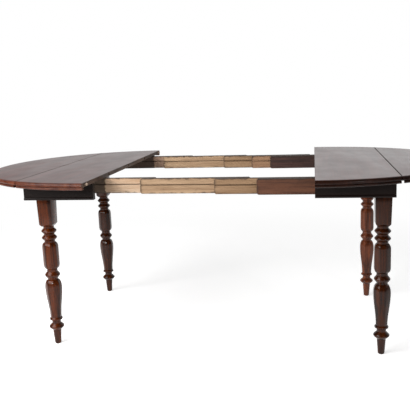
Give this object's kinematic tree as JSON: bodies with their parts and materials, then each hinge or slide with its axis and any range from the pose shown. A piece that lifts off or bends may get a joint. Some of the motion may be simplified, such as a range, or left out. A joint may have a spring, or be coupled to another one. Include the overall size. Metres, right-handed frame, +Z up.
{
  "type": "extending drop-leaf table",
  "caption": "Round dining table whose halves draw apart on telescoping wooden slides, with hinged drop leaves at the ends, pull-out leaf supports and turned legs.",
  "frame": {"origin": "on the floor, in the middle of the open table", "axes": "+X along the table from the left half to the right half, +Y from front to back, +Z up"},
  "size_m": [2.0348, 1.2, 0.725],
  "materials": {
    "top_mahogany": "aged French polish, half-gloss",
    "leg_mahogany": "aged French polish, half-gloss",
    "frame_mahogany": "dark aged French polish",
    "slide_beech": "bare planed wood, darkened on top",
    "slide_mahogany": "bare dark planed wood",
    "inner_wood": "bare planed wood, darkened with age",
    "dowel_beech": "bare turned wood",
    "hinge_iron": "dark wrought iron",
    "screw_steel": "dull old steel"
  },
  "bodies": {
    "left_half": {"left_fixed_board": "top_mahogany", "left_board_bead": "top_mahogany", "left_alignment_dowels": "dowel_beech", "left_front_apron": "frame_mahogany", "left_front_apron_bead": "frame_mahogany", "left_front_leg": "leg_mahogany", "left_back_apron": "frame_mahogany", "left_back_apron_bead": "frame_mahogany", "left_back_leg": "leg_mahogany", "left_end_rail": "frame_mahogany", "left_corner_blocks": "inner_wood", "left_cross_batten": "inner_wood", "left_support_guides": "inner_wood", "left_board_hinge_plates": "hinge_iron", "left_hinge_pins": "screw_steel", "left_board_hinge_screws": "screw_steel", "left_batten_screws": "screw_steel", "left_slide_screws": "screw_steel", "front_slide_rail_1": "slide_beech", "back_slide_rail_1": "slide_beech"},
    "left_leaf": {"left_drop_leaf": "top_mahogany", "left_leaf_bead": "top_mahogany", "left_leaf_hinge_plates": "hinge_iron", "left_leaf_hinge_screws": "screw_steel"},
    "left_front_support": {"left_front_leaf_support": "inner_wood"},
    "left_back_support": {"left_back_leaf_support": "inner_wood"},
    "right_half": {"right_fixed_board": "top_mahogany", "right_board_bead": "top_mahogany", "right_front_apron": "frame_mahogany", "right_front_apron_bead": "frame_mahogany", "right_front_leg": "leg_mahogany", "right_back_apron": "frame_mahogany", "right_back_apron_bead": "frame_mahogany", "right_back_leg": "leg_mahogany", "right_end_rail": "frame_mahogany", "right_corner_blocks": "inner_wood", "right_cross_batten": "inner_wood", "right_support_guides": "inner_wood", "right_board_hinge_plates": "hinge_iron", "right_hinge_pins": "screw_steel", "right_board_hinge_screws": "screw_steel", "right_batten_screws": "screw_steel", "right_slide_screws": "screw_steel", "right_slide_packing": "inner_wood", "front_slide_rail_4": "slide_mahogany", "back_slide_rail_5": "slide_mahogany"},
    "right_leaf": {"right_drop_leaf": "top_mahogany", "right_leaf_bead": "top_mahogany", "right_leaf_hinge_plates": "hinge_iron", "right_leaf_hinge_screws": "screw_steel"},
    "right_front_support": {"right_front_leaf_support": "inner_wood"},
    "right_back_support": {"right_back_leaf_support": "inner_wood"},
    "front_slide_2": {"front_slide_rail_2": "slide_beech"},
    "front_slide_3": {"front_slide_rail_3": "slide_beech"},
    "back_slide_2": {"back_slide_rail_2": "slide_beech"},
    "back_slide_3": {"back_slide_rail_3": "slide_beech"},
    "back_slide_4": {"back_slide_rail_4": "slide_beech"}
  },
  "joints": [
    {"name": "table_slide", "type": "slide", "parent": "left_half", "child": "right_half", "axis": [1, 0, 0], "range_m": [-0.8346, 0.025]},
    {"name": "front_slide_2_travel", "type": "slide", "parent": "left_half", "child": "front_slide_2", "axis": [1, 0, 0], "range_m": [-0.3749, 0.0114]},
    {"name": "front_slide_3_travel", "type": "slide", "parent": "left_half", "child": "front_slide_3", "axis": [1, 0, 0], "range_m": [-0.6719, 0.0203]},
    {"name": "back_slide_2_travel", "type": "slide", "parent": "left_half", "child": "back_slide_2", "axis": [1, 0, 0], "range_m": [-0.2827, 0.0086]},
    {"name": "back_slide_3_travel", "type": "slide", "parent": "left_half", "child": "back_slide_3", "axis": [1, 0, 0], "range_m": [-0.5991, 0.0181]},
    {"name": "back_slide_4_travel", "type": "slide", "parent": "left_half", "child": "back_slide_4", "axis": [1, 0, 0], "range_m": [-0.7419, 0.0224]},
    {"name": "left_leaf_hinge", "type": "hinge", "parent": "left_half", "child": "left_leaf", "pos_m": [-0.7134, 0, 0.7075], "axis": [0, 1, 0], "range_deg": [-90, 0]},
    {"name": "right_leaf_hinge", "type": "hinge", "parent": "right_half", "child": "right_leaf", "pos_m": [0.7134, 0, 0.7075], "axis": [0, -1, 0], "range_deg": [-90, 0]},
    {"name": "left_front_support_pull", "type": "slide", "parent": "left_half", "child": "left_front_support", "axis": [-1, 0, 0], "range_m": [0, 0.125]},
    {"name": "left_back_support_pull", "type": "slide", "parent": "left_half", "child": "left_back_support", "axis": [-1, 0, 0], "range_m": [0, 0.125]},
    {"name": "right_front_support_pull", "type": "slide", "parent": "right_half", "child": "right_front_support", "axis": [1, 0, 0], "range_m": [0, 0.125]},
    {"name": "right_back_support_pull", "type": "slide", "parent": "right_half", "child": "right_back_support", "axis": [1, 0, 0], "range_m": [0, 0.125]}
  ],
  "couplings": [
    {"joint": "front_slide_2_travel", "follows": "table_slide", "ratio": 0.449},
    {"joint": "front_slide_3_travel", "follows": "table_slide", "ratio": 0.8049},
    {"joint": "back_slide_2_travel", "follows": "table_slide", "ratio": 0.3385},
    {"joint": "back_slide_3_travel", "follows": "table_slide", "ratio": 0.7176},
    {"joint": "back_slide_4_travel", "follows": "table_slide", "ratio": 0.8887}
  ]
}
